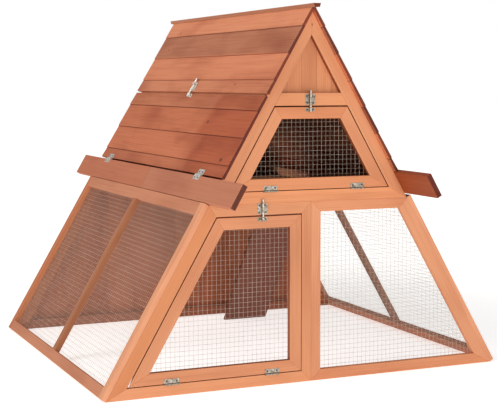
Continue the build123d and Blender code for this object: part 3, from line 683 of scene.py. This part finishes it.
# %% [markdown]
# A sheet is built flat, standing at the origin, and then turned into its place by a matrix whose
# columns are the directions of the sheet. Each edge face of the part gives one plane to cut by.

# %% Wire sheets
def outline_planes(node, facing):
    """A point and an outward normal for each edge face of a flat sheet."""
    found = {}
    for face in nodes[node].data.polygons:
        if abs(face.normal.dot(facing)) < 0.5:
            found[tuple(round(c, 2) for c in face.normal)] = (face.center.copy(), face.normal.copy())
    return list(found.values())


def wire_sheet(name, node, body, right, up):
    """Crossed wires over the outline of a flat sheet; right and up lie in it."""
    right, up = Vector(right), Vector(up)
    facing = right.cross(up)
    corners = [v.co for v in nodes[node].data.vertices]
    u0, u1 = min(c.dot(right) for c in corners), max(c.dot(right) for c in corners)
    v0, v1 = min(c.dot(up) for c in corners), max(c.dot(up) for c in corners)
    outer = max(c.dot(facing) for c in corners)
    mid_u, mid_v = (u0 + u1) / 2, (v0 + v1) / 2
    wide, tall = u1 - u0, v1 - v0
    first_across, first_upright = (mid_u, WIRE, v0 + PITCH / 2), (u0 + PITCH / 2, SECOND_LAYER, mid_v)
    across = rod_row(first_across, True, wide, (0, 0, PITCH), int(tall / PITCH))
    uprights = rod_row(first_upright, False, tall, (PITCH, 0, 0), int(wide / PITCH))
    sheet = pick(across, uprights)
    bpy.ops.object.join()
    sheet.name = sheet.data.name = name
    sheet.matrix_world = Matrix((
        (right.x, -facing.x, up.x, facing.x * outer),
        (right.y, -facing.y, up.y, facing.y * outer),
        (right.z, -facing.z, up.z, facing.z * outer),
        (0, 0, 0, 1),
    ))
    bpy.ops.object.transform_apply(location=True, rotation=True, scale=True)
    bpy.ops.object.mode_set(mode="EDIT")
    for point, normal in outline_planes(node, facing):
        bpy.ops.mesh.select_all(action="SELECT")
        bpy.ops.mesh.bisect(plane_co=point, plane_no=normal, use_fill=True, clear_outer=True)
    bpy.ops.object.mode_set(mode="OBJECT")
    bow = sheet.modifiers.new("bow", "DISPLACE")
    bow.texture = wander
    bow.texture_coords = "LOCAL"
    bow.direction = "RGB_TO_XYZ"
    bow.strength = WANDER
    bpy.ops.object.modifier_apply(modifier="bow")
    sheet.data.materials.clear()
    sheet.data.materials.append(galvanised)
    bpy.ops.object.shade_smooth_by_angle(angle=SMOOTH_BELOW)
    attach(sheet, body)
    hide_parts(node)
    print(name, "faces", len(sheet.data.polygons))
    return sheet


wire_sheet("front_window_wires", "front_window_mesh", "root", X_AXIS, Z_AXIS)
wire_sheet("lower_door_wires", "lower_door_mesh", "lower_door", X_AXIS, Z_AXIS)
wire_sheet("upper_door_wires", "upper_door_mesh", "upper_door", X_AXIS, Z_AXIS)
up_left_slope = (math.cos(lean), 0, math.sin(lean))
wire_sheet("left_side_wires", "left_side_mesh", "root", (0, -1, 0), up_left_slope)
wire_sheet("right_side_wires", "right_side_mesh", "root", Y_AXIS, up_slope)

# %% [markdown]
# ## Screws and nails
#
# The hinges and bolts are held by small countersunk screws with a cross recess, and the boards by
# lost-head nails. A screw head is turned as a low dome and the cross is cut into it with a boolean,
# which is how the punch makes the real one. It is made once and copied to each place, and each copy
# is turned a little differently, as a hand-driven screw stops where it stops.

# %% One screw head
HEAD = 0.0026                 # radius
HEAD_TALL = 0.001
DOME_STEPS = ((0.32, 0.8), (0.16, 0.7))   # the rise as a share of HEAD_TALL, and how far it narrows
RECESS = 0.0005
CROSS = Vector((HEAD * 1.2, HEAD * 0.3, RECESS * 2))   # one bar of the cutter


def screw_head():
    """A domed head at the origin, facing +Z, with a cross cut into it."""
    bpy.ops.object.select_all(action="DESELECT")
    bpy.ops.mesh.primitive_cylinder_add(
        vertices=16, radius=HEAD, depth=HEAD_TALL / 2, location=(0, 0, HEAD_TALL / 4)
    )
    head = bpy.context.object
    bpy.ops.object.transform_apply(location=True, rotation=False, scale=False)
    for rise, width in DOME_STEPS:
        bpy.ops.object.mode_set(mode="EDIT")
        bpy.ops.mesh.select_mode(type="FACE")
        bpy.ops.mesh.select_all(action="DESELECT")
        bpy.ops.object.mode_set(mode="OBJECT")
        top = max(head.data.polygons, key=lambda f: f.center.z)
        top.select = True
        bpy.ops.object.mode_set(mode="EDIT")
        bpy.ops.mesh.extrude_region_move(TRANSFORM_OT_translate={"value": (0, 0, HEAD_TALL * rise)})
        bpy.ops.transform.resize(value=(width, width, 1), center_override=(0, 0, 0))
        bpy.ops.object.mode_set(mode="OBJECT")
    bpy.ops.mesh.primitive_cube_add(size=1, location=(0, 0, HEAD_TALL), scale=CROSS)
    cutter = bpy.context.object
    bpy.ops.object.transform_apply(location=True, rotation=True, scale=True)
    bpy.ops.object.duplicate()
    other = bpy.context.object
    other.rotation_euler = (0, 0, math.pi / 2)
    bpy.ops.object.transform_apply(location=True, rotation=True, scale=True)
    for cut in (cutter, other):
        pick(head)
        slot_cut = head.modifiers.new("cross", "BOOLEAN")
        slot_cut.operation = "DIFFERENCE"
        slot_cut.object = cut
        bpy.ops.object.modifier_apply(modifier="cross")
        bpy.data.objects.remove(cut)
    return head


head = screw_head()
print("screw head faces", len(head.data.polygons))

# %% [markdown]
# The places of the screws are read from the frame: each loose part of a screws node is one screw. On
# the front they face straight out, and on the roof they stand square to the slope.

# %% Find the screws
SAME_POINT = 1e-6


def loose_parts(node):
    """The middle and the size of each loose part of a node."""
    bpy.ops.object.select_all(action="DESELECT")
    copy = bpy.data.objects.new("screws_copy", nodes[node].data.copy())
    bpy.context.scene.collection.objects.link(copy)
    pick(copy)
    bpy.ops.object.mode_set(mode="EDIT")
    bpy.ops.mesh.select_all(action="SELECT")
    bpy.ops.mesh.remove_doubles(threshold=SAME_POINT)
    bpy.ops.mesh.separate(type="LOOSE")
    bpy.ops.object.mode_set(mode="OBJECT")
    found = []
    for part in list(bpy.context.selected_objects):
        points = [v.co for v in part.data.vertices]
        low = Vector([min(p[i] for p in points) for i in range(3)])
        high = Vector([max(p[i] for p in points) for i in range(3)])
        found.append(((low + high) / 2, high - low))
        bpy.data.objects.remove(part)
    return sorted(found, key=lambda f: tuple(round(c, 4) for c in f[0]))


print("screws on the flap", len(loose_parts("flap_screws")))

# %% [markdown]
# A small model is copied to each place, turned to face outwards, and the copies are joined into one
# piece. The turn grows by an angle that never repeats, so that no two neighbours look alike.

# %% Place the screw heads
NEXT_TURN = 1.3               # radians from one copy to the next
SCREW_DEPTH = 0.002           # a front screw's head is no deeper than this along the coop


def place_copies(model, name, body, places, finish):
    """Copies of a small model at (point, outward normal) places, joined into one piece."""
    copies = []
    for i, (point, normal) in enumerate(places):
        pick(model)
        bpy.ops.object.duplicate()
        copy = bpy.context.object
        turn = Matrix.Rotation(NEXT_TURN * i, 4, "Z")
        face_out = Vector(normal).to_track_quat("Z", "Y").to_matrix().to_4x4()
        copy.matrix_world = Matrix.Translation(point) @ face_out @ turn
        copies.append(copy)
    joined = pick(*copies)
    bpy.ops.object.join()
    bpy.ops.object.transform_apply(location=True, rotation=True, scale=True)
    joined.name = joined.data.name = name
    joined.data.materials.clear()
    joined.data.materials.append(finish)
    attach(joined, body)
    print(name, len(places))
    return joined


FRONT = Vector((0, -1, 0))
LEFT_SLOPE = Vector((-math.sin(lean), 0, math.cos(lean)))
for node, body in (
    ("root_screws", "root"), ("lower_door_screws", "lower_door"),
    ("upper_door_screws", "upper_door"), ("flap_screws", "roof_flap"),
):
    places = []
    for middle, size in loose_parts(node):
        out = FRONT if size.y < SCREW_DEPTH else LEFT_SLOPE
        places.append((middle - out * HEAD_TALL / 2, out))
    name = node.replace("screws", "screw_heads")
    heads = place_copies(head, name, body, places, screw_steel)
    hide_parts(node)
bpy.data.objects.remove(head)

# %% [markdown]
# The nails hold the roof boards to the rafters at both ends, the flap's boards to their two battens,
# and the back boards to the rails. A nail head is 1.8 mm across and driven almost flush. A short rod
# is enough, with its top inset and raised a little for the eased rim, and it is copied as the screw
# heads were.

# %% One nail head
NAIL = 0.0009                 # radius
NAIL_PROUD = 0.0004


def nail_head():
    """A flat round head at the origin, facing +Z, with an eased rim."""
    bpy.ops.object.select_all(action="DESELECT")
    bpy.ops.mesh.primitive_cylinder_add(
        vertices=10, radius=NAIL, depth=NAIL_PROUD * 2, location=(0, 0, 0)
    )
    nail = bpy.context.object
    bpy.ops.object.mode_set(mode="EDIT")
    bpy.ops.mesh.select_all(action="DESELECT")
    bpy.ops.object.mode_set(mode="OBJECT")
    for face in nail.data.polygons:
        face.select = face.normal.z > 0.9
    bpy.ops.object.mode_set(mode="EDIT")
    bpy.ops.mesh.select_mode(type="FACE")
    bpy.ops.mesh.inset(thickness=NAIL * 0.3, depth=NAIL_PROUD * 0.4)
    bpy.ops.object.mode_set(mode="OBJECT")
    return nail


nail = nail_head()
print("nail head faces", len(nail.data.polygons))

# %% [markdown]
# Each board has two nails in a row. A hand never sets them dead in line, so every place is moved by
# up to a millimetre and a half, by sums that give the same scatter each time the script runs. The
# boards taper towards their upper edge, and the heads follow their faces.

# %% Nails in the slopes
BOARD_THICK_LOW, BOARD_THICK_HIGH = 0.009, 0.007   # at a board's lower and upper edge
NAIL_UP = (0.016, 0.062)      # above a board's lower edge
SCATTER = 0.0015
GABLE_ROWS = (-0.503, 0.495)  # along the coop, over the rafters
BATTEN_ROWS = (-0.3, 0.3)


def slope_places(side, joint, boards, rows):
    """Nail places on a slope's boards, at the given rows along the coop. The boards are counted
    from the joint, so those below it have numbers under zero."""
    out = Vector((side * math.sin(lean), 0, math.cos(lean)))
    up = Vector((-side * math.cos(lean), 0, math.sin(lean)))
    foot = Vector((side * HALF_BASE, 0, 0))
    places = []
    for board in boards:
        for nail_up in NAIL_UP:
            along = joint + board * ROOF_BOARD + nail_up + SLOPE_START
            thick = BOARD_THICK_LOW + (BOARD_THICK_HIGH - BOARD_THICK_LOW) * nail_up / ROOF_BOARD
            for row in rows:
                jog = SCATTER * math.sin(7.3 * board + 31.0 * row + 90.0 * nail_up)
                point = foot + up * (along + jog) + out * thick
                places.append((Vector((point.x, row + jog, point.z)), out))
    return places


for name, body, side, joint, lowest, rows in (
    ("left_roof_nails", "root", -1, RIDGE_JOINT, -2, GABLE_ROWS),
    ("right_roof_nails", "root", 1, RIDGE_JOINT, -5, GABLE_ROWS),
    ("flap_nails", "roof_flap", -1, FLAP_JOINT, -2, BATTEN_ROWS),
):
    places = slope_places(side, joint, range(lowest, 0), rows)
    place_copies(nail, name, body, places, plated)

# %% [markdown]
# The boards of the back wall are nailed from outside at the foot rail and the head rail, and the
# gable's boards at the gable rail just above, with two nails to a board at each. A place too near the
# slanting edge would split the board there, so it is left out.

# %% Nails in the back wall
BACK_BOARDS = range(-7, 7)    # seven each side of the middle
BACK_ACROSS = (0.02, 0.0615)  # from a board's edge
BACK_ROWS = (0.014, 0.467, 0.497)
SLOPE_CLEAR = 0.02            # nails keep this far inside the slanting edge
back_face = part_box("back_wall_boards")[1].y
back_places = []
for board in BACK_BOARDS:
    for across in BACK_ACROSS:
        x = board * WALL_BOARD + across
        for z in BACK_ROWS:
            if abs(x) < HALF_BASE - z / math.tan(lean) - SLOPE_CLEAR:
                back_places.append((Vector((x, back_face, z)), Vector((0, 1, 0))))
place_copies(nail, "back_wall_nails", "root", back_places, plated)
bpy.data.objects.remove(nail)

# %% [markdown]
# ## The studio
#
# A coop is best judged in plain soft light, on a pale floor with no edge in sight. The paper glows a
# little, less under the coop, so that it stays white and still takes a soft shadow.

# %% Floor
NEAR_COOP, FAR_AWAY = 0.7, 2.2      # from the middle of the floor
NEAR_GLOW, FAR_GLOW = 0.6, 0.82
FLOOR_SIZE = 40
FLOOR_DROP = 0.0005           # keeps the paper clear of the rails, which stand at z = 0
bpy.ops.object.select_all(action="DESELECT")
bpy.ops.mesh.primitive_plane_add(size=FLOOR_SIZE, location=(0, 0, -FLOOR_DROP))
floor = bpy.context.object
floor.name = "studio_floor"
paper, tree = new_material("glowing_white_paper")
place = add(tree, "TexCoord")
distance = add(tree, "VectorMath", {0: place.outputs["Object"]}, operation="LENGTH").outputs["Value"]
fading = {0: distance, 1: NEAR_COOP, 2: FAR_AWAY, 3: NEAR_GLOW, 4: FAR_GLOW}
under_light = add(tree, "MapRange", fading, interpolation_type="SMOOTHSTEP")
# painted light: the paper glows, less near the coop, so it reads white while a soft shade stays near
# the coop
paper_colour_and_glow = add(tree, "BsdfPrincipled", {
    "Base Color": linear("F4F3F1"), "Roughness": 0.9, "Specular IOR Level": 0.1,
    "Emission Color": linear("FFFFFF"), "Emission Strength": under_light.outputs[0],
})
add(tree, "OutputMaterial", {0: paper_colour_and_glow.outputs[0]})
floor.data.materials.append(paper)
print("floor", floor.name)

# %% [markdown]
# One broad lamp stands low in front, a little to the left of the middle, so that the front is the
# brightest face. A second one stands high on the left for the roof. The open white surroundings fill
# the rest: they look pure white to the camera and light the coop with a third of that, and the inside
# of the run stays shaded by its own roof.

# %% Surroundings and lamps
ROOM_LIGHT, ROOM_SEEN = 0.33, 1.0
world = bpy.data.worlds.new("white_room")
world.use_nodes = True
world.node_tree.nodes.clear()
seen = add(world.node_tree, "LightPath").outputs["Is Camera Ray"]
glow = add(world.node_tree, "MapRange", {0: seen, 3: ROOM_LIGHT, 4: ROOM_SEEN}).outputs[0]
room = add(world.node_tree, "Background", {"Color": linear("FFFFFF"), "Strength": glow})
add(world.node_tree, "OutputWorld", {0: room.outputs[0]})
bpy.context.scene.world = world


def lamp(name, at, look, size, power):
    """A square soft lamp at a point, facing another."""
    data = bpy.data.lights.new(name, "AREA")
    data.shape = "SQUARE"
    data.size = size
    data.energy = power
    light = bpy.data.objects.new(name, data)
    bpy.context.scene.collection.objects.link(light)
    light.location = at
    light.rotation_euler = (Vector(look) - Vector(at)).to_track_quat("-Z", "Y").to_euler()
    return light


lamp("front_lamp", (-0.4, -6.6, 1.5), (0, 0, 0.45), 3.0, 105)
lamp("left_lamp", (-4.6, -1.2, 3.4), (0, 0, 0.5), 2.4, 120)

# %% [markdown]
# The camera stands to the left of the front, a little below the ridge, and looks slightly down. A
# long lens from nearly four metres keeps the uprights almost parallel, and a small shift
# centres the coop without tilting the camera any further.

# %% Camera
IMAGE_WIDE = 497
FOCAL = 1250.4                # on the same scale as IMAGE_WIDE
DOWN, TURN = 2.872, 23.696    # degrees below level, and from straight ahead
camera_data = bpy.data.cameras.new("studio_camera")
camera_data.sensor_width = 36
camera_data.lens = FOCAL / IMAGE_WIDE * camera_data.sensor_width
camera_data.shift_y = -0.1288
camera = bpy.data.objects.new("studio_camera", camera_data)
camera.location = (-1.4812, -3.4695, 0.7965)
camera.rotation_euler = (math.radians(90 - DOWN), 0, math.radians(-TURN))
bpy.context.scene.collection.objects.link(camera)
bpy.context.scene.camera = camera
bpy.context.scene.view_settings.view_transform = "Standard"
print("lens", round(camera_data.lens, 1))
